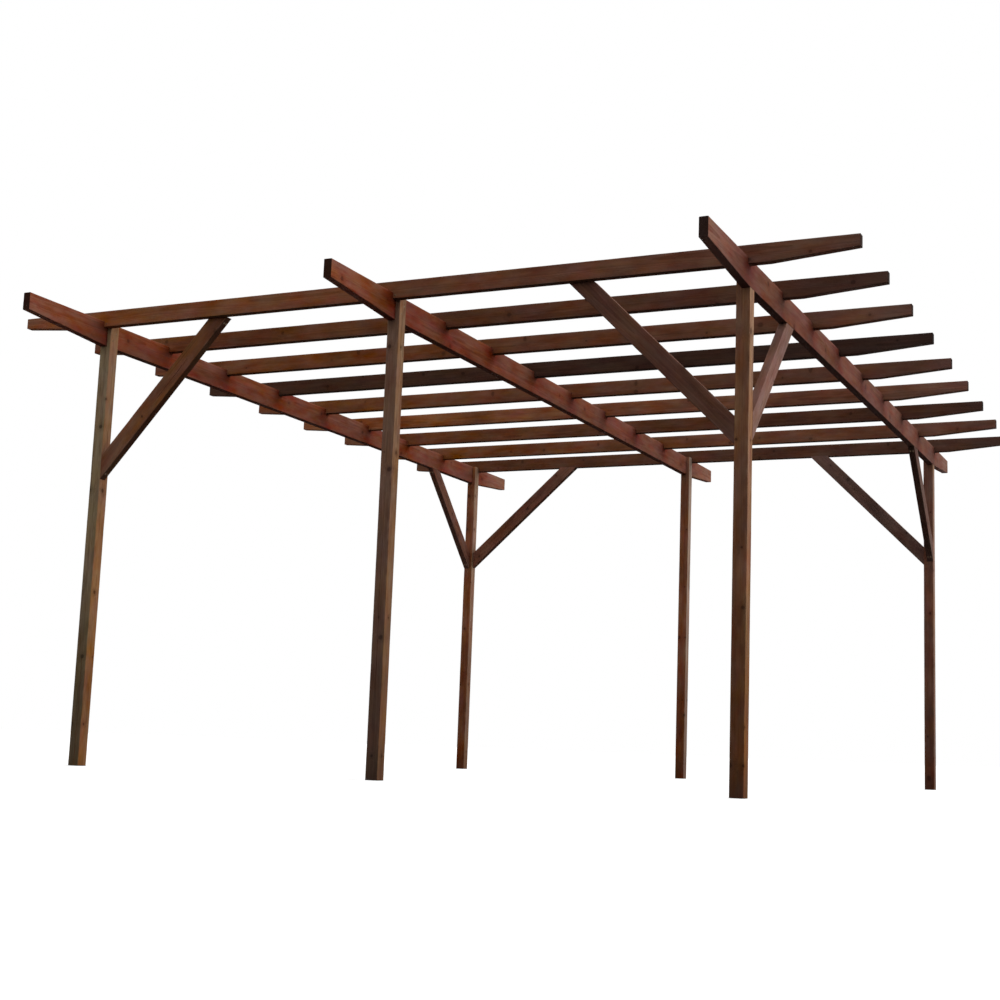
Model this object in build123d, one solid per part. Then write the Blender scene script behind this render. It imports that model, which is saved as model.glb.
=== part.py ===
"""Timber pergola: six posts, three beams, nine slats and seven braces, each a solid of its own.

Units are millimetres. X runs along the slats, to the right as seen from the front. Y runs along the beams,
to the back. Z is up. The origin is on the ground, under the middle of the roof.
"""
import math
import os

from build123d import *

# timber sections
post_width = 70.0
beam_thickness = 45.0
beam_height = 140.0
slat_thickness = 45.0
slat_height = 95.0
brace_thickness = 45.0
brace_depth = 95.0
eased_edge_radius = 3.0

# layout on the ground
bay_width = 1900.0
beam_length = 6100.0
beam_overhang_front = 690.0
beam_overhang_rear = 610.0
slat_count = 9

# heights
shoulder_height = 2390.0
slat_notch_depth = 35.0

# slat overhang and tapered ends
beam_end_height = 96.0
slat_overhang = 565.0
slat_end_height = 60.0
slat_taper_length = 430.0

# joints
slat_housing_depth = 10.0
brace_reach_along_beam = 730.0
brace_reach_left_front = 805.0
brace_rise_left_front = 885.0
brace_reach_left_rear = 915.0
brace_rise_left_rear = 825.0
brace_reach_right = 865.0
brace_rise_right = 860.0
cut_overrun = 20.0
along_share = 0.9

# derived places
half_post = post_width / 2
beam_top = shoulder_height + beam_height
slat_bottom = beam_top - slat_notch_depth
slat_top = slat_bottom + slat_height
beam_end_y = beam_length / 2
slat_end_x = bay_width + slat_overhang
slat_taper_x = slat_end_x - slat_taper_length
slat_row_setoff = half_post - slat_housing_depth + slat_thickness / 2

# each column of posts: its name, its place on X and the side of its beam on which the tongues stand
columns = {"left": (-bay_width, 1), "middle": (0, 1), "right": (bay_width, -1)}
# each row of posts: its name, its place on Y and the way out of the pergola
rows = {"front": (beam_overhang_front - beam_end_y, -1), "rear": (beam_end_y - beam_overhang_rear, 1)}
# each brace across: its column and row, its reach along its slat and its rise
braces_across = {("left", "front"): (brace_reach_left_front, brace_rise_left_front),
                 ("left", "rear"): (brace_reach_left_rear, brace_rise_left_rear),
                 ("right", "front"): (brace_reach_right, brace_rise_right),
                 ("right", "rear"): (brace_reach_right, brace_rise_right)}
# the braces along the beams: their column and row
braces_along = (("left", "rear"), ("right", "front"), ("right", "rear"))


def block(x_span, y_span, z_span):
    """A box between two limits on each axis."""
    size = [high - low for low, high in (x_span, y_span, z_span)]
    return Pos(x_span[0], y_span[0], z_span[0]) * Box(*size, align=Align.MIN)


def ease(board, run):
    """The board with its edges along the run rounded, as a planed timber has them."""
    edges = [edge for edge in board.edges() if abs(edge.tangent_at(0.5).dot(run)) > along_share]
    return fillet(edges, eased_edge_radius)


def board_across_x(profile, x_span, run):
    """A board with a profile of (y, z) points, between two limits on X."""
    face = make_face(Polyline(*[(x_span[0], y, z) for y, z in profile], close=True))
    return ease(extrude(face, amount=x_span[1] - x_span[0], dir=(1, 0, 0)), run)


def board_across_y(profile, y_span, run):
    """A board with a profile of (x, z) points, between two limits on Y."""
    face = make_face(Polyline(*[(x, y_span[0], z) for x, z in profile], close=True))
    return ease(extrude(face, amount=y_span[1] - y_span[0], dir=(0, 1, 0)), run)


def row_face(row, setoff):
    """A place on Y, so far from the middle of a row of posts towards the outside."""
    y, out = rows[row]
    return y + out * setoff


def tapered_profile(end, tapers, bottom, top, end_height):
    """A long board from the side: level on top, with an underside that rises to both ends."""
    tip = top - end_height
    return [(-end, top), (end, top), (end, tip), (tapers[1], bottom), (tapers[0], bottom), (-end, tip)]


def brace_profile(face, away, top, reach, rise):
    """A brace from a post's face to a level underside: cut plumb at its foot and level at its top."""
    slant = math.atan2(rise, reach)
    level_cut = brace_depth / math.sin(slant)
    plumb_cut = brace_depth / math.cos(slant)
    foot = top - rise
    return [(face, foot), (face + away * reach, top),
            (face + away * (reach - level_cut), top), (face, foot + plumb_cut)]


def brace_run(away, reach, rise):
    """The direction of a brace: its part along the ground and its part upwards."""
    length = math.hypot(reach, rise)
    return away * reach / length, rise / length


def beam_span(column):
    """The limits of a beam on X: flush with the face of its posts that is away from the tongues."""
    x, tongue_side = columns[column]
    outer = x - tongue_side * half_post
    return sorted((outer, outer + tongue_side * beam_thickness))


def make_post(column, row):
    """A square post: its shoulder carries a beam, its tongue stands beside it, an outer slat is let in."""
    x, tongue_side = columns[column]
    y, out = rows[row]
    section = RectangleRounded(post_width, post_width, eased_edge_radius)
    post = Pos(x, y, 0) * extrude(section, amount=beam_top)
    clear = post_width + cut_overrun
    head = (shoulder_height, beam_top + cut_overrun)
    tongue_face = x - tongue_side * (half_post - beam_thickness)
    post -= block(sorted((tongue_face, tongue_face - tongue_side * clear)), (y - clear, y + clear), head)
    housing_face = row_face(row, half_post - slat_housing_depth)
    housing = sorted((housing_face, housing_face + out * clear))
    return post - block((x - clear, x + clear), housing, (slat_bottom, beam_top + cut_overrun))


def make_beam(column):
    """A beam on edge: its underside rises from the outer faces of its posts to both ends."""
    tapers = [row_face(row, half_post) for row in rows]
    profile = tapered_profile(beam_end_y, tapers, shoulder_height, beam_top, beam_end_height)
    return board_across_x(profile, beam_span(column), Vector(0, 1, 0))


def make_slat(number):
    """A slat on edge, notched over the three beams: its underside rises to both ends."""
    first, last = [row_face(row, slat_row_setoff) for row in rows]
    y = first + (last - first) * number / (slat_count - 1)
    y_span = (y - slat_thickness / 2, y + slat_thickness / 2)
    tapers = (-slat_taper_x, slat_taper_x)
    profile = tapered_profile(slat_end_x, tapers, slat_bottom, slat_top, slat_end_height)
    slat = board_across_y(profile, y_span, Vector(1, 0, 0))
    notch_y = (y - slat_thickness, y + slat_thickness)
    for column in columns:
        slat -= block(beam_span(column), notch_y, (slat_bottom - cut_overrun, beam_top))
    return slat


def make_brace_across(column, row):
    """A brace in the plane of the slats, from the side of a corner post to the underside of an outer slat."""
    x, away = columns[column]
    y_span = sorted((row_face(row, half_post), row_face(row, half_post - brace_thickness)))
    reach, rise = braces_across[column, row]
    profile = brace_profile(x + away * half_post, away, slat_bottom, reach, rise)
    along, up = brace_run(away, reach, rise)
    return board_across_y(profile, y_span, Vector(along, 0, up))


def make_brace_along(column, row):
    """A brace under a beam and as thick as it, from the inner face of a corner post."""
    away = -rows[row][1]
    reach = brace_reach_along_beam
    profile = brace_profile(row_face(row, -half_post), away, shoulder_height, reach, reach)
    along, up = brace_run(away, reach, reach)
    return board_across_x(profile, beam_span(column), Vector(0, along, up))


pieces = {}
for column in columns:
    pieces[f"beam_{column}"] = make_beam(column)
    for row in rows:
        pieces[f"post_{column}_{row}"] = make_post(column, row)
for number in range(slat_count):
    pieces[f"slat_{number + 1}"] = make_slat(number)
for column, row in braces_across:
    pieces[f"brace_across_{column}_{row}"] = make_brace_across(column, row)
for column, row in braces_along:
    pieces[f"brace_along_{column}_{row}"] = make_brace_along(column, row)

os.makedirs("parts", exist_ok=True)
for name, piece in pieces.items():
    export_step(piece, f"parts/{name}.step")
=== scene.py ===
"""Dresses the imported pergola: planed and stained timbers with grain, knots and drying checks, and screws.

Units are metres in the frame of the part. X runs along the slats, Y along the beams and Z is up. Every timber
is a rounded section carried along a straight path. Its wood is a solid pattern round the pith, which the
material reads from attributes of the mesh.
"""
import math
import zlib

import bpy
import numpy as np
from mathutils import Matrix, Vector


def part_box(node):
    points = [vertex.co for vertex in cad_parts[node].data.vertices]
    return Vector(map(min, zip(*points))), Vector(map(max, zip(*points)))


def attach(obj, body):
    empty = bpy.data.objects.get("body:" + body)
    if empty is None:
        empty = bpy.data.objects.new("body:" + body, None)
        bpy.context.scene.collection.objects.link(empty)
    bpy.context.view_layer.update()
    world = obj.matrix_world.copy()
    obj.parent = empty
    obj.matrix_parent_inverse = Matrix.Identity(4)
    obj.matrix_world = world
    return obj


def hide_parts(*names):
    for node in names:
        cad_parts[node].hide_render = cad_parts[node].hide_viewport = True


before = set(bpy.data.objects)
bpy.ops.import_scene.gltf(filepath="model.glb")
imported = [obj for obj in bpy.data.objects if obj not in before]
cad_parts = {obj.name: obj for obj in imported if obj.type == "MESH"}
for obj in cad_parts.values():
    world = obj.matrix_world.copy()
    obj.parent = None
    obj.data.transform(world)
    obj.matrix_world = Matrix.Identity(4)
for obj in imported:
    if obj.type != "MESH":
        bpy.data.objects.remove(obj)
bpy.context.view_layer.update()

# how the pieces are named and which way they face
column_names = ("left", "middle", "right")
row_names = ("front", "rear")
slat_numbers = range(1, 10)
tongue_side = {"left": 1, "middle": 1, "right": -1}
outwards = {"front": -1, "rear": 1}
outer_slat = {"front": "slat_1", "rear": "slat_9"}

# cuts that the boxes of the timbers do not give
beam_end_height = 0.096
slat_end_height = 0.060
slat_taper_length = 0.430
slat_housing_depth = 0.010
brace_depth = 0.095
cut_overrun = 0.030

# where the screws are; a tongue has two, each at a height over the shoulder and a shift along the beam
head_set_in = 0.0001
tongue_screws = ((0.035, -0.014), (0.080, 0.014))
outer_slat_screw_height = 0.018
brace_screw_setback = 0.042
brace_screw_asides = (-0.010, 0.010)

# a screw head, from its neck up to its rim by radius, and into its recess by a share of the recess radius
screw_point = -0.004
rim_profile = ((0.0026, -0.0030), (0.0050, -0.0012), (0.0050, -0.0003), (0.0043, 0.0))
recess_profile = ((1.12, 0.0), (1.0, -0.0002), (0.92, -0.0014), (0.50, -0.0014))
recess_floor = -0.0014
recess_radius = 0.0019
lobe_height = 0.00035
lobe_count = 6
screw_columns = 24
screw_sharp_angle = math.radians(35.0)

# how finely a timber is drawn
arris_radius = 0.0032
arris_steps = 4
column_pitch = 0.012
fewest_columns = 3
station_pitch = 0.026
end_stations = np.array([0.0012, 0.004])
cap_shares = np.array([0.12, 0.40, 0.72])
timber_sharp_angle = math.radians(38.0)

# relief of the planed faces, which always goes inwards
unevenness = 0.0007
wave_windings = (1, 2, 3, 5)
wave_length = 1.1
end_set_in = 0.0009
saw_marks = 0.0005
knocks_per_metre = 2.5
knock_margin = 0.02
knock_depths = (0.0004, 0.0022)
knock_extents = (0.018, 0.045)

# drying checks: their depth in each kind of timber, their columns on a face, and how far they wander
beam_check_depth = 0.002
post_check_depth = 0.004
slat_check_depth = 0.0016
brace_check_depth = 0.002
check_offsets = np.array([-0.0012, -0.0004, 0.0004, 0.0012])
check_weights = np.array([0.0, 1.0, 1.0, 0.0])
check_clearance = 0.0055
check_wander = 0.0014
check_waves = (0.5, 0.9)
# where a check lies across its face, and its extent: in metres at an end, or else as a share of the length
check_shares = (0.36, 0.64)
end_check_extents = (0.25, 0.60)
inner_check_extents = (0.25, 0.55)
longest_for_checks = 2.4

# the faces of a section in the order of the walk round it
face_count = 4
wide_faces = (0, 2)

# where the pith runs: within a post, and beside a board at a distance and a height
post_pith = 0.012
beam_pith = (0.06, 0.04)
slat_pith = (0.05, 0.04)
brace_pith = (0.05, 0.03)
longest_grain_shift = 90.0

# patterns in the wood and on the screws: repeats per metre along and across, detail and roughness
crook_pattern = (95.0, 95.0, 2.0, 0.5)
warp_pattern = (0.9, 7.0, 2.0, 0.5)
fibre_pattern = (16.0, 750.0, 2.0, 0.6)
streak_pattern = (4.5, 30.0, 3.0, 0.6)
blotch_pattern = (3.1, 7.0, 3.0, 0.6)
wear_pattern = (6.0, 40.0, 4.0, 0.65)
scuff_pattern = (11.0, 60.0, 2.0, 0.5)
patch_pattern = (5.5, 16.0, 3.0, 0.6)
tarnish_pattern = (420.0, 420.0, 3.0, 0.6)

# whorls of knots and annual rings per metre, the shape of a ring, and how deep the grain shows
whorl_rate = 2.3
ring_rate = 255.0
ring_sharpness = 2.4
ring_warp = 0.016
grain_depth = 0.0009
red_cast = (1.0, 0.70, 0.66)
latewood_cast = (0.56, 0.47, 0.42)

# weather and painted light: the way that the sun comes from, how far a face turns to it to be in full sun and
# take its painted sun tone, how far a face turns along the grain to be a cut end, and how far the wear of
# edges and ends and the painted shade of crossings reach
sun_way = np.array([0.80, 0.10, 0.59])
full_sun = 0.5
cut_lean = 0.55
edge_width = 0.005
tip_reach = 0.75
shelter_and_shade_reach = 0.075
# a place along that no timber reaches, which stands in where no crossing shelters and shades it
far_off = -9.0


def srgb(red, green, blue):
    """A colour written as it looks on the screen, 0 to 255, as Blender's linear colour."""
    share = np.array([red, green, blue]) / 255.0
    linear = np.where(share <= 0.04045, share / 12.92, ((share + 0.055) / 1.055) ** 2.4)
    return (*linear.tolist(), 1.0)


class Field:
    """A value over the surface, carried by a socket. Each operator on it adds a Math node."""

    def __init__(self, finish, socket):
        self.finish = finish
        self.socket = socket

    def math(self, operation, *others):
        return self.finish.maths(operation, self, *others)

    def __add__(self, other):
        return self.math("ADD", other)

    def __radd__(self, other):
        return self.finish.maths("ADD", other, self)

    def __sub__(self, other):
        return self.math("SUBTRACT", other)

    def __rsub__(self, other):
        return self.finish.maths("SUBTRACT", other, self)

    def __mul__(self, other):
        return self.math("MULTIPLY", other)

    def __rmul__(self, other):
        return self.finish.maths("MULTIPLY", other, self)

    def __truediv__(self, other):
        return self.math("DIVIDE", other)

    def __rtruediv__(self, other):
        return self.finish.maths("DIVIDE", other, self)

    def __pow__(self, other):
        return self.math("POWER", other)

    def __rpow__(self, other):
        return self.finish.maths("POWER", other, self)


class Outputs:
    """The outputs of a node, each given as a field by its name or number."""

    def __init__(self, finish, node):
        self.finish = finish
        self.node = node

    def __getitem__(self, name):
        return Field(self.finish, self.node.outputs[name])


class Finish:
    """The node tree of a material or of the world, to which one method adds every node."""

    def __init__(self, owner):
        owner.use_nodes = True
        self.owner = owner
        self.tree = owner.node_tree
        self.tree.nodes.clear()

    def node(self, kind, settings, sockets):
        """Adds a node of a kind, sets its settings first, and then the values or links of its sockets."""
        node = self.tree.nodes.new(kind)
        for name, value in settings.items():
            setattr(node, name, value)
        for name, value in sockets.items():
            if isinstance(value, Field):
                self.tree.links.new(value.socket, node.inputs[name])
            else:
                node.inputs[name].default_value = value
        return Outputs(self, node)

    def maths(self, operation, *values):
        return self.node("ShaderNodeMath", {"operation": operation}, dict(enumerate(values)))["Value"]

    def attribute(self, name):
        return self.node("ShaderNodeAttribute", {"attribute_name": name}, {})

    def parts(self, vector):
        split = self.node("ShaderNodeSeparateXYZ", {}, {"Vector": vector})
        return split["X"], split["Y"], split["Z"]

    def joined(self, x, y, z):
        return self.node("ShaderNodeCombineXYZ", {}, {"X": x, "Y": y, "Z": z})["Vector"]

    def pattern(self, place, shape):
        """Noise with one rate along and another across, where the place is given as its three parts."""
        along_rate, across_rate, detail, roughness = shape
        along, right, up = place
        vector = self.joined(along * along_rate, right * across_rate, up * across_rate)
        sockets = {"Vector": vector, "Scale": 1.0, "Detail": detail, "Roughness": roughness}
        return self.node("ShaderNodeTexNoise", {}, sockets)

    def ease(self, value, low, high):
        """0 up to low and 1 from high on, smooth between; low may be the larger of the two."""
        sockets = {"Value": value, "From Min": low, "From Max": high}
        return self.node("ShaderNodeMapRange", {"interpolation_type": "SMOOTHSTEP"}, sockets)["Result"]

    def mix(self, share, first, second):
        """The first colour where the share is 0 and the second where it is 1; its sockets go by number."""
        settings = {"data_type": "RGBA", "clamp_factor": True}
        return self.node("ShaderNodeMix", settings, {0: share, 6: first, 7: second})[2]

    def tint(self, colour, cast):
        """A colour times a cast, part by part."""
        settings = {"operation": "MULTIPLY"}
        return self.node("ShaderNodeVectorMath", settings, {0: colour, 1: cast})["Vector"]

    def seen(self):
        """1 for rays from the camera, from a mirror or through glass, and 0 for those that carry light."""
        rays = self.node("ShaderNodeLightPath", {}, {})
        mirrored = rays["Is Glossy Ray"].math("MAXIMUM", rays["Is Transmission Ray"])
        return mirrored.math("MAXIMUM", rays["Is Camera Ray"])

    def surface(self, sockets):
        """Ends the tree of a material with a Principled shader."""
        shader = self.node("ShaderNodeBsdfPrincipled", {}, sockets)["BSDF"]
        self.node("ShaderNodeOutputMaterial", {}, {"Surface": shader})
        return self.owner


def greatest(fields):
    """The largest of some values at each place."""
    top = fields[0]
    for field in fields[1:]:
        top = top.math("MAXIMUM", field)
    return top


def knots(finish, grain, crook):
    """The cores and halos of the knots, and how far they swell the rings.

    At each whorl three branches run straight out from the pith, each at an angle and with a radius of 3 to
    16 mm that come from the chance colour of the whorl. A place lies in a branch by its gap from the branch's
    axis, made crooked, over the radius.
    """
    along, right, up = grain
    sockets = {"W": along * whorl_rate, "Scale": 1.0, "Randomness": 0.95}
    whorl = finish.node("ShaderNodeTexVoronoi", {"voronoi_dimensions": "1D"}, sockets)
    turn, size, other_turn = finish.parts(whorl["Color"])
    beside = along - whorl["W"] / whorl_rate
    turned = turn * math.tau
    branches = ((turned, size * 0.011 + 0.005),
                (turned + other_turn + 1.6, other_turn * 0.011 + 0.003),
                (turned - size - 1.7, turn * 0.010 + 0.003))
    cores, halos, swellings = [], [], []
    for angle, radius in branches:
        cosine = angle.math("COSINE")
        sine = angle.math("SINE")
        outward = right * cosine + up * sine
        across = up * cosine - right * sine
        gap = (beside * beside * 0.7 + across * across).math("SQRT") * (0.62 + crook * 0.76)
        reach = finish.ease(outward, 0.002, 0.008)
        cores.append(finish.ease(gap / radius, 1.15, 0.70) * reach)
        halos.append(finish.ease(gap / radius, 3.4, 0.9) * reach)
        swellings.append(halos[-1] * radius * 0.9)
    return greatest(cores), greatest(halos), sum(swellings[1:], swellings[0])


def wood(name, dark, light, bleached, knot_tone, end_tone, bleach, tip_bleach, low_shade_and_foot_darkening, knottiness):
    """Stained softwood: annual rings round the pith, knots, fibre, streaks of stain and weathering.

    The grain attribute gives the place along the timber and the two distances from the pith. The stain and
    shade attribute gives the tone of a face, the strength of its colour and its redness, or an olive cast
    below 0: a stain of the timber's own, and also painted light and shade, as a face turned to the sun takes
    other values than one turned from it.
    The weather and shade attribute gives how far a face turns to the sun, whether it is cut across the grain
    and how far it turns to the ground, by which the face is darkened as painted shade. Bleach and tip_bleach
    say how much the sun takes from the faces and from the ends, the argument after them how dark the foot
    gets, as painted shade lower down on faces turned from the sun and as darkening of all faces at the very
    foot, and knottiness how dark the knots are.
    """
    finish = Finish(bpy.data.materials.new(name))
    grain = finish.parts(finish.attribute("grain")["Vector"])
    tone, strength, redness = finish.parts(finish.attribute("stain_and_shade")["Vector"])
    sun, cut, under = finish.parts(finish.attribute("weather_and_shade")["Vector"])
    edge = finish.attribute("edge")["Fac"]
    tip = finish.attribute("tip")["Fac"]
    shelter_and_shade = finish.attribute("shelter_and_shade")["Fac"]
    crook = finish.pattern(grain, crook_pattern)["Fac"]
    warp = finish.pattern(grain, warp_pattern)["Fac"]
    fibre = finish.pattern(grain, fibre_pattern)["Fac"]
    streak = finish.pattern(grain, streak_pattern)["Fac"]
    blotch = finish.pattern(grain, blotch_pattern)["Fac"]
    wear = finish.pattern(grain, wear_pattern)["Fac"]
    scuff = finish.pattern(grain, scuff_pattern)["Fac"]
    fullness, gold = finish.parts(finish.pattern(grain, patch_pattern)["Color"])[:2]

    # annual rings: the distance from the pith, warped along the timber and swollen round the knots
    right, up = grain[1:]
    knot, halo, swell = knots(finish, grain, crook)
    radius = (right * right + up * up).math("SQRT") + swell + warp * ring_warp
    rings = (radius * ring_rate).math("FRACT") ** ring_sharpness

    # stain, uneven in streaks and blotches
    soak = finish.ease(streak * 0.30 + blotch * 0.52 + fibre * 0.18, 0.30, 0.70)
    body = finish.mix(soak, srgb(*dark), srgb(*light))

    # weathering, less near the ground and near the crossings, where it is held back as shelter and also as
    # painted shade, and scuffed edges
    worn = finish.ease(wear, 0.30, 0.62)
    exposure = (sun * bleach + tip * tip * tip_bleach) * (worn * 0.7 + 0.3) * (1.0 - shelter_and_shade * 0.8)
    if low_shade_and_foot_darkening:
        height = finish.parts(finish.node("ShaderNodeTexCoord", {}, {})["Object"])[2] + blotch * 0.5
        exposure = exposure * (0.30 + finish.ease(height, 0.3, 2.1) * 0.70)
    body = finish.mix(exposure, body, srgb(*bleached))
    body = finish.mix(edge * finish.ease(scuff, 0.44, 0.62) * 0.65, body, srgb(*bleached))

    # latewood, knots, cut ends, painted shade lower down on faces turned from the sun, and darkening of all
    # faces at the very foot
    lines = rings * 0.55 + finish.ease(fibre, 0.50, 0.72) * 0.40
    body = finish.mix(lines, body, finish.tint(body, latewood_cast))
    body = finish.mix(halo * 0.45 * knottiness, body, srgb(*dark))
    body = finish.mix(knot * (0.65 + crook * 0.3) * knottiness, body, srgb(*knot_tone))
    body = finish.mix(cut * (0.90 - rings * 0.25), body, srgb(*end_tone))
    if low_shade_and_foot_darkening:
        # painted shade: faces turned from the sun darken towards the ground; all faces also darken at the
        # very foot
        low_shade_and_foot_darkening_share = finish.ease(height, 1.9, 0.2) * (1.0 - sun * 0.8) + finish.ease(height, 0.55, 0.2) * 0.4
        body = finish.mix(low_shade_and_foot_darkening_share * low_shade_and_foot_darkening, body, srgb(*end_tone))

    # the timber's own tone, with patches in which the stain is fuller or thinner, more golden or redder
    # redder near crossings, partly as shelter and partly as painted shade and reflected red light
    body = finish.mix(redness + shelter_and_shade * 0.55, body, finish.tint(body, red_cast))
    olive = (redness * -0.05).math("MAXIMUM", 0.0)
    # painted light and shade: the value follows the face's tone in sun or shade, and is darker on faces
    # turned to the ground
    sockets = {"Hue": olive + gold * 0.055 + 0.4725, "Saturation": strength * (0.70 + fullness * 0.60),
               "Value": tone * (1.08 - under * 0.72), "Color": body}
    body = finish.node("ShaderNodeHueSaturation", {}, sockets)["Color"]

    relief = fibre * 0.45 + rings * 0.40 - knot * 0.4
    sockets = {"Height": relief, "Distance": grain_depth, "Strength": 0.7}
    bump = finish.node("ShaderNodeBump", {}, sockets)["Normal"]
    roughness = 0.70 + soak * 0.10 + fibre * 0.12 + under * 0.3
    return finish.surface({"Base Color": body, "Roughness": roughness, "Normal": bump,
                           "Specular IOR Level": 0.03})


def screw_steel():
    """Zinc plated screw heads, dulled and browned in places."""
    finish = Finish(bpy.data.materials.new("screw_steel"))
    place = finish.parts(finish.node("ShaderNodeTexCoord", {}, {})["Object"])
    tarnish = finish.ease(finish.pattern(place, tarnish_pattern)["Fac"], 0.42, 0.66)
    body = finish.mix(tarnish, srgb(104, 88, 70), srgb(66, 50, 38))
    return finish.surface({"Base Color": body, "Roughness": 0.34 + tarnish * 0.3, "Metallic": 1.0})


class Board:
    """A straight timber: the start and direction of its path, and the limits of its section along it.

    A point s along, a aside and b up is start + s * run + a * side + b * up, where side = up x run. The
    underside is a line of straight pieces along the path, and low has their places and heights. The ends may
    be slanted: s = foot_slope * b at the start, and s = length + head_slope * b at the end.
    """

    def __init__(self, node, start, run, up, length, width, low, high, foot_slope=0.0, head_slope=0.0):
        self.node = node
        self.start = np.array(start)
        self.run = np.array(run)
        self.up = np.array(up)
        self.side = np.cross(self.up, self.run)
        self.length = length
        self.width = width
        self.low = low
        self.high = high
        self.foot_slope = foot_slope
        self.head_slope = head_slope
        self.random = np.random.default_rng(zlib.crc32(node.encode()))

    def height(self):
        return self.high - min(self.low[1])

    def pith_beside(self, distance, spread):
        """A pith outside the board, on one side of it or the other."""
        return self.random.choice([-distance, distance]), self.random.uniform(-spread, spread)


def section_columns(board, checks):
    """Walks once round a rounded rectangle: right face, top, left face, underside.

    On the face with normal n and walking direction t, a share f of the way is w = (n + t * (2f - 1) + 1) / 2
    of the section plus the setback o = -r * (2f - 1) * t. Round a corner the direction is d = n cos + t sin,
    with w = (n + t + 1) / 2 and o = r * (d - n - t). Columns for a drying check stand close together.
    """
    shares, setbacks, normals, tangents, marks = [], [], [], [], []
    spans = (board.height(), board.width, board.height(), board.width)
    for face, span in enumerate(spans):
        turn = face * math.pi / 2
        normal = np.round([math.cos(turn), math.sin(turn)])
        tangent = np.round([-math.sin(turn), math.cos(turn)])
        flat = span - 2 * arris_radius
        way = np.linspace(0.0, 1.0, max(round(span / column_pitch), fewest_columns) + 1)
        mark = np.zeros((len(way), len(checks)))
        for number, check in enumerate(checks):
            if check["face"] == face:
                clear = (np.abs(way - check["share"]) > check_clearance / flat) | (way == 0.0) | (way == 1.0)
                close = np.zeros((len(check_offsets), len(checks)))
                close[:, number] = check_weights + 1.0
                way, mark = way[clear], mark[clear]
                way = np.concatenate([way, check["share"] + check_offsets / flat])
                mark = np.concatenate([mark, close])
        order = np.argsort(way)
        way, mark = way[order], mark[order]
        lean = (2.0 * way - 1.0)[:, None] * tangent
        bend = np.linspace(0.0, math.pi / 2, arris_steps + 1)[1:-1, None]
        around = normal * np.cos(bend) + tangent * np.sin(bend)
        shares += [(normal + lean + 1.0) / 2.0, np.tile((normal + tangent + 1.0) / 2.0, (len(bend), 1))]
        setbacks += [-arris_radius * lean, arris_radius * (around - normal - tangent)]
        normals += [np.tile(normal, (len(way), 1)), around]
        tangents += [np.tile(tangent, (len(way), 1)), np.zeros_like(around)]
        marks += [mark, np.zeros((len(bend), len(checks)))]
    return [np.concatenate(part) for part in (shares, setbacks, normals, tangents, marks)]


def planed_in(board, station, columns):
    """How far the faces are planed in: the unevenness times 1/2 plus 1/8 of a sum of long waves.

    Each wave runs along the timber and winds round its section a whole number of times.
    """
    around = np.linspace(0.0, math.tau, columns, endpoint=False)
    sunk = np.full((len(station), columns), 0.5)
    for times in wave_windings:
        wave = board.random.uniform(0.5, 1.6) * times
        phase = board.random.uniform(0.0, math.tau)
        sunk += 0.125 * np.sin(wave * station[:, None] * math.tau / wave_length + times * around + phase)
    return unevenness * sunk


def timber_grid(board, checks, knocks):
    """The surface of a timber as rows of columns, and the middles of its two ends.

    Along: s = foot_slope * b + u * (length + (head_slope - foot_slope) * b). Relief: each point moves inwards
    by a sum of long waves, by the depth of a check, depth * (1 - |2(s - middle) / extent| ** 3) ** 0.5, by
    knocks on the arrises, depth * exp(-((s - place) / extent) ** 2), and by a small set-in at the two ends.
    The ends close with rings that shrink to the middle.
    """
    share, setback, normal, tangent, mark = section_columns(board, checks)
    length = board.length
    even = np.linspace(0.0, length, math.ceil(length / station_pitch) + 1)
    station = np.concatenate([even, end_stations, length - end_stations, board.low[0]])
    station = np.unique(station.clip(0.0, length))
    low = np.interp(station, *board.low)[:, None]
    aside = np.tile(board.width * (share[:, 0] - 0.5) + setback[:, 0], (len(station), 1))
    upward = low * (1.0 - share[:, 1]) + board.high * share[:, 1] + setback[:, 1]

    sunk = planed_in(board, station, len(share))
    for number, check in enumerate(checks):
        offset = 2.0 * (station - check["middle"]) / check["extent"]
        depth = check["depth"] * np.sqrt(np.clip(1.0 - np.abs(offset) ** 3, 0.0, 1.0))
        sunk += depth[:, None] * (np.clip(mark[:, number], 1.0, 2.0) - 1.0)
        wander = check_wander * np.sin(station * math.tau / check["wave"] + check["phase"])
        pull = wander[:, None] * (mark[:, number] > 0.0)
        aside = aside + pull * tangent[:, 0]
        upward = upward + pull * tangent[:, 1]
    on_arris = np.abs(normal[:, 0] * normal[:, 1]) * 2.0
    for place, depth, extent, corner in knocks:
        dent = depth * np.exp(-((station - place) / extent) ** 2)
        facing = np.clip(normal @ np.array([math.cos(corner), math.sin(corner)]), 0.0, 1.0) ** 6
        sunk += dent[:, None] * facing * (0.25 + 0.75 * on_arris)
    end_gap = np.minimum(station, length - station)[:, None]
    sunk = sunk + end_set_in * np.clip(1.0 - end_gap / end_stations[0], 0.0, 1.0)
    aside = aside - normal[:, 0] * sunk
    upward = upward - normal[:, 1] * sunk

    share_along = (station / length)[:, None]
    forward = board.foot_slope * upward
    forward = forward + share_along * (length + (board.head_slope - board.foot_slope) * upward)
    rows = board.start + forward[..., None] * board.run
    rows = rows + aside[..., None] * board.side + upward[..., None] * board.up

    inward = cap_shares[:, None, None]
    middles = [rows[0].mean(axis=0), rows[-1].mean(axis=0)]
    first = rows[0] + (middles[0] - rows[0]) * inward[::-1]
    last = rows[-1] + (middles[1] - rows[-1]) * inward
    saw = board.random.uniform(0.0, saw_marks, (2, *first.shape[:2]))[..., None] * board.run
    return np.concatenate([first + saw[0], rows, last - saw[1]]), middles


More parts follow.
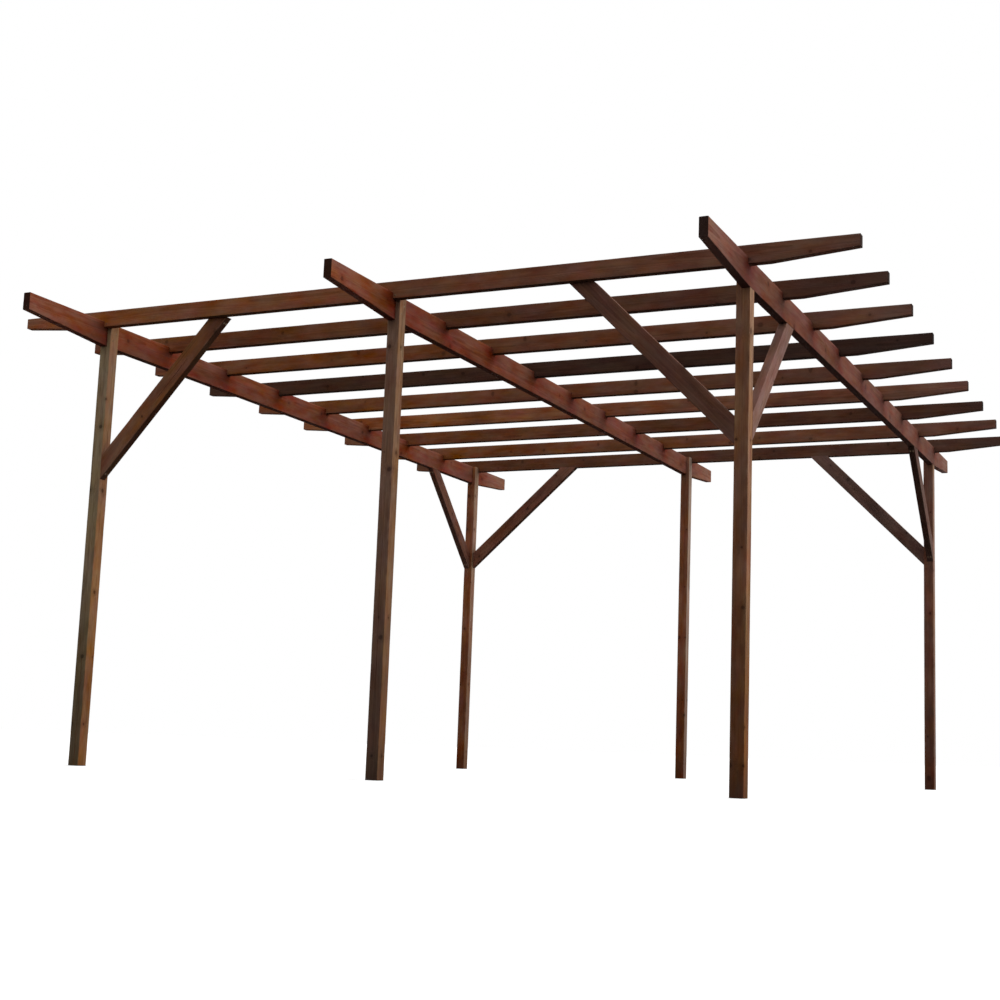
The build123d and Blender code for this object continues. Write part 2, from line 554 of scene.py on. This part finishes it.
def closed_faces(count, width):
    """The faces of a grid whose rows close on themselves, between one pole before it and one after it.

    The points of the grid come first, row by row, and then the two poles.
    """
    index = np.arange(count * width).reshape(count, width)
    ahead = np.roll(index, -1, axis=1)
    quads = np.stack([index[:-1], ahead[:-1], ahead[1:], index[1:]], axis=-1).reshape(-1, 4)
    pole = np.full(width, count * width)
    fans = np.concatenate([np.stack([pole, ahead[0], index[0]], axis=-1),
                           np.stack([index[-1], ahead[-1], pole + 1], axis=-1)])
    return quads, fans


def blocks_mesh(name, blocks):
    """Plain boxes between two corners each, as a cutting tool: the bits of k give corner k its x, y and z."""
    bits = (np.arange(8)[:, None] >> np.arange(3)) & 1
    low = np.array([block[0] for block in blocks])[:, None, :]
    high = np.array([block[1] for block in blocks])[:, None, :]
    points = (low + (high - low) * bits).reshape(-1, 3)
    sides = np.array([[0, 2, 3, 1], [4, 5, 7, 6], [0, 1, 5, 4], [2, 6, 7, 3], [0, 4, 6, 2], [1, 3, 7, 5]])
    faces = (sides + 8 * np.arange(len(blocks))[:, None, None]).reshape(-1, 4)
    mesh = bpy.data.meshes.new(name)
    mesh.from_pydata(points.tolist(), [], faces.tolist())
    return mesh


def put(name, data):
    """An object at the origin that shows a mesh, a lamp or a camera."""
    piece = bpy.data.objects.new(name, data)
    bpy.context.scene.collection.objects.link(piece)
    return piece


def cut_away(piece, blocks):
    """Takes boxes out of a piece, as a saw does, and keeps the result in its mesh."""
    tool = put("saw", blocks_mesh("saw", blocks))
    sawing = piece.modifiers.new("sawing", "BOOLEAN")
    sawing.operation = "DIFFERENCE"
    sawing.solver = "EXACT"
    sawing.object = tool
    whole = piece.data
    shown = piece.evaluated_get(bpy.context.evaluated_depsgraph_get())
    piece.data = bpy.data.meshes.new_from_object(shown)
    piece.modifiers.clear()
    piece.data.name = whole.name
    bpy.data.meshes.remove(whole)
    bpy.data.meshes.remove(tool.data)


def smooth(mesh, sharp_angle, material):
    """Smooth faces in one material, with sharp edges where they meet at a larger angle."""
    mesh.polygons.foreach_set("use_smooth", np.ones(len(mesh.polygons), bool))
    mesh.set_sharp_from_angle(angle=sharp_angle)
    mesh.materials.clear()
    mesh.materials.append(material)


def vectors(items, name):
    """A vector of every vertex or face of a mesh, as rows."""
    flat = np.empty(len(items) * 3, np.float32)
    items.foreach_get(name, flat)
    return flat.reshape(-1, 3)


def keep(mesh, name, domain, values):
    """Keeps a number or a vector for every vertex or face as an attribute."""
    kind, part = ("FLOAT", "value") if values.ndim == 1 else ("FLOAT_VECTOR", "vector")
    mesh.attributes.new(name, kind, domain).data.foreach_set(part, values.ravel())


def mark_places(board, mesh, pith, sheltered_and_shaded):
    """Writes what the wood reads at each vertex, from its place s along, a aside and b up.

    Grain: s plus a shift of the timber's own, and a and b from the pith. Edge: exp(-(da + db) / edge width),
    with the distances da and db to the nearest faces. Tip: 1 at the ends, falling to 0 at the tip reach.
    Shelter and shade: the largest of exp(-(d / reach) squared), with the distances d along to the sheltered
    places, the crossings, which the wood marks both as shelter from the weather and as painted shade.
    """
    places = vectors(mesh.vertices, "co") - board.start
    along, aside, upward = places @ board.run, places @ board.side, places @ board.up
    low = np.interp(along, *board.low)
    from_side = np.clip(board.width / 2 - np.abs(aside), 0.0, None)
    from_top = np.clip(np.minimum(upward - low, board.high - upward), 0.0, None)
    from_end = np.minimum(along, board.length - along)
    from_shelter_and_shade = along[:, None] - np.array([*sheltered_and_shaded, far_off])
    middle = (board.high + min(board.low[1])) / 2
    shift = board.random.uniform(0.0, longest_grain_shift)
    grain = np.stack([along + shift, aside - pith[0], upward - middle - pith[1]], axis=-1)
    keep(mesh, "grain", "POINT", grain)
    keep(mesh, "edge", "POINT", np.exp(-(from_side + from_top) / edge_width))
    keep(mesh, "tip", "POINT", np.clip(1.0 - from_end / tip_reach, 0.0, 1.0))
    # painted shade and shelter: near each crossing, where the wood is redder and less bleached
    keep(mesh, "shelter_and_shade", "POINT", np.exp(-(from_shelter_and_shade / shelter_and_shade_reach) ** 2).max(axis=1))


def mark_faces(board, mesh, stain_and_shade):
    """Writes what the wood reads on each face, from its place along and its normal.

    Stain and shade: the tone, the strength of the colour and the redness, which go from those of the start to
    those of the far end, and from those of the shade to those of the sun, as painted light and shade. Weather
    and shade: how far the face turns to the sun, or how bare the timber is if that is more, 1 where the face
    is cut across the grain, and how far it turns to the ground, to the power 0.6, which the ends of a tapered
    timber lose; by this last the wood paints the face in shade.
    """
    in_sun, in_shade, bare = stain_and_shade
    facing = vectors(mesh.polygons, "normal")
    share = (vectors(mesh.polygons, "center") - board.start) @ board.run / board.length
    sun = np.clip(facing @ sun_way, 0.0, 1.0)
    lit = np.clip(sun / full_sun, 0.0, 1.0)[:, None]
    in_sun = in_sun[0] + (in_sun[1] - in_sun[0]) * share[:, None]
    in_shade = in_shade[0] + (in_shade[1] - in_shade[0]) * share[:, None]
    cut = (np.abs(facing @ board.run) > cut_lean).astype(float)
    tapered = len(board.low[0]) > 1
    from_end = np.minimum(share, 1.0 - share) * board.length
    overhang = np.clip(1.0 - from_end / tip_reach, 0.0, 1.0) * tapered
    # painted shade: how far a face turns to the ground, by which the wood darkens it, less at the tapered
    # ends
    under = np.clip(-facing[:, 2], 0.0, 1.0) ** 0.6 * np.clip(1.0 - overhang * 1.6, 0.0, 1.0)
    # painted light and shade: a face turned to the sun takes the sun values, and a face turned from it takes
    # the shade values
    keep(mesh, "stain_and_shade", "FACE", in_shade + (in_sun - in_shade) * lit)
    keep(mesh, "weather_and_shade", "FACE", np.stack([np.maximum(sun, bare), cut, under], axis=-1))


def stain_in_sun_and_shade(sun, shade, bare=0.0, far_sun=None, far_shade=None):
    """A timber's tone, strength of colour and redness at its start and far end, in the sun and in the shade,
    as painted light and shade.

    The far end is as the start where it is not given. Bare is how much of the stain is lost all over.
    """
    in_sun = np.array([sun, far_sun or sun])
    in_shade = np.array([shade, far_shade or shade])
    return in_sun, in_shade, bare


def drying_checks(board, faces, depth, at_ends):
    """Cracks along the grain on some faces: their face, share across, place, extent, depth and wander."""
    made = []
    for face in faces:
        extent = board.random.uniform(*inner_check_extents) * min(board.length, longest_for_checks)
        middle = board.random.uniform(0.1, 0.9) * board.length
        if at_ends:
            middle = board.random.choice([0.0, board.length])
            extent = board.random.uniform(*end_check_extents)
        made.append({"face": face, "share": board.random.uniform(*check_shares),
                     "middle": middle, "extent": extent,
                     "depth": depth * board.random.uniform(0.6, 1.2),
                     "wave": board.random.uniform(*check_waves),
                     "phase": board.random.uniform(0.0, math.tau)})
    return made


def arris_knocks(board):
    """Small dents in the long edges: their place, depth, extent and corner."""
    count = round(knocks_per_metre * board.length)
    places = board.random.uniform(knock_margin, board.length - knock_margin, count)
    depths = board.random.uniform(*knock_depths, count)
    extents = board.random.uniform(*knock_extents, count)
    turns = (board.random.integers(0, face_count, count) + 0.5) * math.pi / 2
    return list(zip(places, depths, extents, turns))


def dress(board, material, stain_and_shade, pith, faces, depth, at_ends=False, cuts=(), sheltered_and_shaded=()):
    """Makes one timber, cuts its joints, marks its wood and puts it in the place of its solid."""
    rows, poles = timber_grid(board, drying_checks(board, faces, depth, at_ends), arris_knocks(board))
    quads, fans = closed_faces(*rows.shape[:2])
    points = np.concatenate([rows.reshape(-1, 3), np.array(poles)])
    name = board.node + "_timber"
    mesh = bpy.data.meshes.new(name)
    mesh.from_pydata(points.tolist(), [], quads.tolist() + fans.tolist())
    piece = put(name, mesh)
    for blocks in cuts:
        cut_away(piece, blocks)
    mark_places(board, piece.data, pith, sheltered_and_shaded)
    mark_faces(board, piece.data, stain_and_shade)
    smooth(piece.data, timber_sharp_angle, material)
    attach(piece, "root")
    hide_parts(board.node)


def corners(node):
    """The lowest and highest corners of a node as arrays."""
    return np.array(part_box(node))


def level(low):
    """The underside of a board without a taper."""
    return ([0.0], [low])


def post_board(column, row):
    """A post, whose path is its middle line."""
    node = f"post_{column}_{row}"
    low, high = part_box(node)
    half = (high.x - low.x) / 2
    start = ((low.x + high.x) / 2, (low.y + high.y) / 2, low.z)
    return Board(node, start, (0, 0, 1), (0, 1, 0), high.z - low.z, high.x - low.x, level(-half), half)


def beam_board(column):
    """A beam, whose path lies at the height of the ground and whose underside rises outside the posts."""
    low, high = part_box(f"beam_{column}")
    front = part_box(f"post_{column}_front")[0].y - low.y
    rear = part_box(f"post_{column}_rear")[1].y - low.y
    length = high.y - low.y
    tip = high.z - beam_end_height
    under = ([0.0, front, rear, length], [tip, low.z, low.z, tip])
    start = ((low.x + high.x) / 2, low.y, 0.0)
    return Board(f"beam_{column}", start, (0, 1, 0), (0, 0, 1), length, high.x - low.x, under, high.z)


def slat_board(number):
    """A slat, whose path lies at the height of the ground and whose underside rises to both ends."""
    low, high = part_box(f"slat_{number}")
    length = high.x - low.x
    tip = high.z - slat_end_height
    under = ([0.0, slat_taper_length, length - slat_taper_length, length], [tip, low.z, low.z, tip])
    start = (low.x, (low.y + high.y) / 2, 0.0)
    return Board(f"slat_{number}", start, (1, 0, 0), (0, 0, 1), length, high.y - low.y, under, high.z)


def brace_board(node, axis, away):
    """A brace in the plane of an axis and Z, plumb at its foot and level at its top.

    Its lower edge is the path.
    """
    low, high = corners(node)
    reach = high[axis] - low[axis]
    rise = high[2] - low[2]
    angle = math.atan2(rise, reach)
    start = (low + high) / 2
    start[axis] = low[axis] if away > 0 else high[axis]
    start[2] = low[2]
    run = np.zeros(3)
    run[axis], run[2] = away * math.cos(angle), math.sin(angle)
    up = np.zeros(3)
    up[axis], up[2] = -away * math.sin(angle), math.cos(angle)
    thickness = high[1 - axis] - low[1 - axis]
    return Board(node, start, run, up, rise / math.sin(angle), thickness, level(0.0), brace_depth,
                 math.tan(angle), -1.0 / math.tan(angle))


def post_cuts(column, row):
    """The boxes that come off a post head: beside the tongue, and the housing of the outer slat."""
    low, high = corners(f"post_{column}_{row}")
    beam_low, beam_high = corners(f"beam_{column}")
    beside = [low - cut_overrun, high + cut_overrun]
    beside[0][2] = beam_low[2]
    if tongue_side[column] > 0:
        beside[1][0] = beam_high[0]
    else:
        beside[0][0] = beam_low[0]
    housing = [low - cut_overrun, high + cut_overrun]
    housing[0][2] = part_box(outer_slat[row])[0].z
    if outwards[row] < 0:
        housing[1][1] = low[1] + slat_housing_depth
    else:
        housing[0][1] = high[1] - slat_housing_depth
    return [[beside], [housing]]


def slat_cuts(number):
    """The boxes that come off the underside of a slat, one over each beam."""
    low, high = corners(f"slat_{number}")
    made = []
    for column in column_names:
        beam_low, beam_high = corners(f"beam_{column}")
        made.append(((beam_low[0], low[1] - cut_overrun, low[2] - cut_overrun),
                     (beam_high[0], high[1] + cut_overrun, beam_high[2])))
    return [made]


def slat_screws():
    """One screw down through each slat over each beam: the places of the heads and the ways they face."""
    places = []
    for column in column_names:
        beam_low, beam_high = corners(f"beam_{column}")
        for number in slat_numbers:
            low, high = corners(f"slat_{number}")
            middle = (low + high) / 2
            places.append(((beam_low[0] + beam_high[0]) / 2, middle[1], high[2] - head_set_in))
    return places, [(0.0, 0.0, 1.0)] * len(places)


def post_screws():
    """Screws through each tongue into its beam, and one through the outer slat into each post."""
    places, ways = [], []
    for column in column_names:
        beam_low, beam_high = corners(f"beam_{column}")
        for row in row_names:
            side, out = tongue_side[column], outwards[row]
            low, high = corners(f"post_{column}_{row}")
            outer = high[0] if side > 0 else low[0]
            inner = beam_high[0] if side > 0 else beam_low[0]
            middle = (low[1] + high[1]) / 2
            for height, shift in tongue_screws:
                places.append((outer - side * head_set_in, middle + shift, beam_low[2] + height))
                ways.append((side, 0.0, 0.0))
            slat_low, slat_high = corners(outer_slat[row])
            face = slat_low[1] if out < 0 else slat_high[1]
            height = slat_low[2] + outer_slat_screw_height
            places.append(((outer + inner) / 2, face - out * head_set_in, height))
            ways.append((0.0, out, 0.0))
    return places, ways


def brace_screws(boards):
    """Two screws up through the lower edge of each brace at each of its ends."""
    places, ways = [], []
    for board in boards:
        for along in (brace_screw_setback, board.length - brace_screw_setback):
            for aside in brace_screw_asides:
                places.append(board.start + along * board.run + aside * board.side)
                ways.append(-board.up)
    return places, ways


def screw_heads(name, places, ways, material):
    """Countersunk heads with a lobed recess: a profile of radius and height, turned round each screw's axis.

    A point is place + height * way + radius * (cos * first + sin * second). In the recess, the radius is a
    share of the recess radius + lobe height * cos of the lobe count times the angle.
    """
    places, ways = np.array(places), np.array(ways)
    random = np.random.default_rng(zlib.crc32(name.encode()))
    angle = np.linspace(0.0, math.tau, screw_columns, endpoint=False)
    star = recess_radius + lobe_height * np.cos(lobe_count * angle)
    rim, recess = np.array(rim_profile), np.array(recess_profile)
    radius = np.concatenate([rim[:, :1] * np.ones(screw_columns), recess[:, :1] * star])
    height = np.concatenate([rim[:, 1], recess[:, 1]])
    upright = np.abs(ways[:, 2:]) > 0.7
    helper = np.where(upright, np.array([[1.0, 0.0, 0.0]]), np.array([[0.0, 0.0, 1.0]]))
    first = np.cross(helper, ways)
    first = first / np.linalg.norm(first, axis=1, keepdims=True)
    second = np.cross(ways, first)
    turned = (angle[None, :] + random.uniform(0.0, math.tau, (len(places), 1)))[..., None]
    spread = np.cos(turned) * first[:, None, :] + np.sin(turned) * second[:, None, :]
    rows = (places[:, None, None, :] + height[None, :, None, None] * ways[:, None, None, :]
            + radius[None, :, :, None] * spread[:, None, :, :])
    count, levels = rows.shape[:2]
    poles = places[:, None, :] + np.array([screw_point, recess_floor])[:, None] * ways[:, None, :]
    points = np.concatenate([rows.reshape(count, -1, 3), poles], axis=1)
    quads, fans = closed_faces(levels, screw_columns)
    step = points.shape[1] * np.arange(count)[:, None, None]
    mesh = bpy.data.meshes.new(name)
    mesh.from_pydata(points.reshape(-1, 3).tolist(), [],
                     (quads + step).reshape(-1, 4).tolist() + (fans + step).reshape(-1, 3).tolist())
    smooth(mesh, screw_sharp_angle, material)
    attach(put(name, mesh), "root")


# finishes
post_wood = wood("post_wood", dark=(84, 55, 39), light=(120, 83, 59), bleached=(154, 119, 91),
                 knot_tone=(52, 30, 21), end_tone=(34, 24, 19), bleach=0.95, tip_bleach=0.20, low_shade_and_foot_darkening=0.50,
                 knottiness=0.9)
beam_wood = wood("beam_wood", dark=(90, 42, 27), light=(126, 66, 46), bleached=(142, 100, 82),
                 knot_tone=(54, 26, 17), end_tone=(11, 8, 7), bleach=0.36, tip_bleach=0.50, low_shade_and_foot_darkening=0.0,
                 knottiness=0.7)
slat_wood = wood("slat_wood", dark=(97, 57, 39), light=(134, 84, 61), bleached=(116, 90, 84),
                 knot_tone=(52, 29, 20), end_tone=(20, 14, 12), bleach=0.25, tip_bleach=0.35, low_shade_and_foot_darkening=0.0,
                 knottiness=0.6)
brace_wood = wood("brace_wood", dark=(82, 50, 37), light=(120, 76, 56), bleached=(136, 97, 85),
                  knot_tone=(48, 28, 20), end_tone=(28, 19, 16), bleach=0.55, tip_bleach=0.10, low_shade_and_foot_darkening=0.0,
                  knottiness=0.8)
steel = screw_steel()

# each timber's tone, strength of colour and redness, or olive cast below 0, in sun and shade: its own stain
# and painted light and shade
post_stain_and_shade = {
    # the sun tone of the left front post falls towards its head, a painted shadow of the roof
    "left_front": stain_in_sun_and_shade((1.5, 1.14, 0.0), (0.86, 0.85, -0.6), bare=0.8,
                          far_sun=(0.82, 1.0, 0.0), far_shade=(1.05, 0.85, -0.5)),
    "middle_front": stain_in_sun_and_shade((1.02, 1.05, 0.0), (1.02, 0.84, 0.0), bare=0.1,
                            far_sun=(0.97, 1.0, 0.0), far_shade=(1.22, 0.86, 0.0)),
    "right_front": stain_in_sun_and_shade((1.10, 1.14, 0.1), (1.13, 1.03, 0.2), bare=0.15,
                           far_sun=(1.26, 0.92, 0.0), far_shade=(1.18, 0.94, 0.2)),
    "left_rear": stain_in_sun_and_shade((1.10, 0.90, 0.20), (1.75, 1.08, 0.75), bare=0.1,
                         far_sun=(1.10, 0.82, 0.20), far_shade=(1.85, 1.02, 0.6)),
    "middle_rear": stain_in_sun_and_shade((1.3, 0.75, 0.0), (1.62, 1.06, 0.85), bare=0.1,
                           far_sun=(1.35, 0.65, 0.0), far_shade=(1.70, 0.98, 0.5)),
    "right_rear": stain_in_sun_and_shade((1.1, 0.8, 0.4), (1.38, 0.95, 0.95),
                          far_sun=(1.1, 0.8, 0.4), far_shade=(1.42, 0.82, 0.6))}
beam_stain_and_shade = {
    "left": stain_in_sun_and_shade((0.97, 1.03, 0.08), (1.0, 1.0, 0.0), far_sun=(1.03, 0.98, 0.05)),
    "middle": stain_in_sun_and_shade((1.0, 1.04, 0.16), (1.0, 1.0, 0.0), far_sun=(1.04, 0.92, 0.05)),
    "right": stain_in_sun_and_shade((0.96, 0.94, 0.1), (1.0, 0.8, 0.0), far_sun=(0.97, 0.85, 0.0))}
brace_stain_and_shade = {
    "across_left_front": stain_in_sun_and_shade((1.3, 1.02, -0.15), (1.32, 1.02, -0.15)),
    "across_left_rear": stain_in_sun_and_shade((1.5, 0.95, 0.05), (1.62, 0.95, 0.05)),
    "across_right_front": stain_in_sun_and_shade((0.88, 0.90, 0.0), (0.87, 0.90, 0.0), bare=0.1),
    "across_right_rear": stain_in_sun_and_shade((1.2, 0.75, 0.0), (1.26, 0.72, 0.0)),
    "along_left_rear": stain_in_sun_and_shade((0.90, 1.0, 0.1), (3.2, 0.88, 0.0)),
    "along_right_front": stain_in_sun_and_shade((1.26, 0.82, 0.0), (1.0, 0.9, 0.0)),
    "along_right_rear": stain_in_sun_and_shade((0.80, 0.80, 0.0), (1.7, 0.80, 0.0))}
# each slat's tone at its golden left end and at its greyed right end, and the strength of its colour
slat_tones = ((1.58, 0.82, 1.01), (1.20, 0.54, 1.0), (1.27, 0.94, 1.02),
              (0.46, 0.29, 0.86), (1.36, 0.82, 1.0), (1.74, 1.18, 1.02),
              (1.28, 0.44, 1.0), (1.46, 1.03, 1.02), (0.90, 0.57, 0.95))

# timbers
crossings = [(corners(f"slat_{number}").sum(axis=0) / 2)[1] for number in slat_numbers]
for column in column_names:
    board = beam_board(column)
    pith = board.pith_beside(*beam_pith)
    faces = board.random.permutation(wide_faces)[:1]
    dress(board, beam_wood, beam_stain_and_shade[column], pith, faces, beam_check_depth, at_ends=True,
          sheltered_and_shaded=[place - board.start[1] for place in crossings])
    for row in row_names:
        board = post_board(column, row)
        pith = board.random.uniform(-post_pith, post_pith, 2)
        faces = board.random.permutation(face_count)[:2]
        dress(board, post_wood, post_stain_and_shade[f"{column}_{row}"], pith, faces, post_check_depth,
              cuts=post_cuts(column, row))
for number, (left, right, strength) in zip(slat_numbers, slat_tones):
    board = slat_board(number)
    pith = board.pith_beside(*slat_pith)
    faces = board.random.permutation(wide_faces)[:1]
    golden, greyed = (left, strength * 1.08, -0.12), (right, strength * 0.88, 0.0)
    stain_and_shade = stain_in_sun_and_shade(golden, golden, far_sun=greyed, far_shade=greyed)
    dress(board, slat_wood, stain_and_shade, pith, faces, slat_check_depth, at_ends=True,
          cuts=slat_cuts(number))
brace_boards = []
for name, stain_and_shade in brace_stain_and_shade.items():
    way, column, row = name.split("_")
    if way == "across":
        board = brace_board(f"brace_{name}", 0, 1 if column == "left" else -1)
    else:
        board = brace_board(f"brace_{name}", 1, -outwards[row])
    pith = board.pith_beside(*brace_pith)
    dress(board, brace_wood, stain_and_shade, pith, wide_faces, brace_check_depth)
    brace_boards.append(board)

# screws
screw_heads("slat_screws", *slat_screws(), steel)
screw_heads("post_screws", *post_screws(), steel)
screw_heads("brace_screws", *brace_screws(brace_boards), steel)

# floor, which is white to the eye and sends little light back up
floor_reach = 120.0
floor_drop = 0.001
ground = Finish(bpy.data.materials.new("pale_floor"))
dull = ground.node("ShaderNodeBsdfDiffuse", {}, {"Color": (0.030, 0.028, 0.026, 1.0)})["BSDF"]
pale = ground.node("ShaderNodeBsdfDiffuse", {}, {"Color": (0.80, 0.80, 0.80, 1.0)})["BSDF"]
glow = {"Color": (1.0, 1.0, 1.0, 1.0), "Strength": 0.26}
lift = ground.node("ShaderNodeEmission", {}, glow)["Emission"]
white = ground.node("ShaderNodeAddShader", {}, {0: pale, 1: lift})["Shader"]
shown = ground.node("ShaderNodeMixShader", {}, {0: ground.seen(), 1: dull, 2: white})["Shader"]
ground.node("ShaderNodeOutputMaterial", {}, {"Surface": shown})
floor_corners = floor_reach * np.array([[-1, -1, 0], [1, -1, 0], [1, 1, 0], [-1, 1, 0]])
floor_corners[:, 2] -= floor_drop
floor_mesh = bpy.data.meshes.new("floor")
floor_mesh.from_pydata(floor_corners.tolist(), [], [[0, 1, 2, 3]])
floor_mesh.materials.append(ground.owner)
floor = put("floor", floor_mesh)

# light: a broad soft lamp from the right and behind, under an even pale sky
sky = Finish(bpy.data.worlds.new("studio"))
bpy.context.scene.world = sky.owner
pale_blue = {"Color": (0.98, 0.99, 1.0, 1.0), "Strength": 0.82}
fill = sky.node("ShaderNodeBackground", {}, pale_blue)["Background"]
plain_white = {"Color": (1.0, 1.0, 1.0, 1.0), "Strength": 1.0}
backdrop = sky.node("ShaderNodeBackground", {}, plain_white)["Background"]
shown = sky.node("ShaderNodeMixShader", {}, {0: sky.seen(), 1: fill, 2: backdrop})["Shader"]
sky.node("ShaderNodeOutputWorld", {}, {"Surface": shown})
lamp = bpy.data.lights.new("key", "SUN")
lamp.energy = 2.4
lamp.angle = math.radians(60.0)
lamp.color = (1.0, 0.975, 0.94)
key = put("key", lamp)
key_way = Vector((0.64, 0.50, 0.58))
key.rotation_mode = "QUATERNION"
key.rotation_quaternion = key_way.to_track_quat("Z", "Y")
bpy.context.scene.view_settings.view_transform = "Standard"

# camera at the place from which the photograph was taken
camera_place = (4.0215, -9.4516, 0.1905)
yaw, pitch, roll = -0.4444, 0.1545, 0.0377
camera_data = bpy.data.cameras.new("camera")
camera_data.sensor_width = 36.0
camera_data.lens = 57.01
camera_data.clip_end = 400.0
camera = put("camera", camera_data)
bpy.context.scene.camera = camera
ahead = np.array([math.sin(yaw) * math.cos(pitch), math.cos(yaw) * math.cos(pitch), math.sin(pitch)])
level_right = np.array([math.cos(yaw), -math.sin(yaw), 0.0])
level_above = np.cross(level_right, ahead)
camera_right = level_right * math.cos(roll) + level_above * math.sin(roll)
camera_above = level_above * math.cos(roll) - level_right * math.sin(roll)
pose = np.eye(4)
pose[:3, :3] = np.stack([camera_right, camera_above, -ahead], axis=1)
pose[:3, 3] = camera_place
camera.matrix_world = Matrix(pose.tolist())
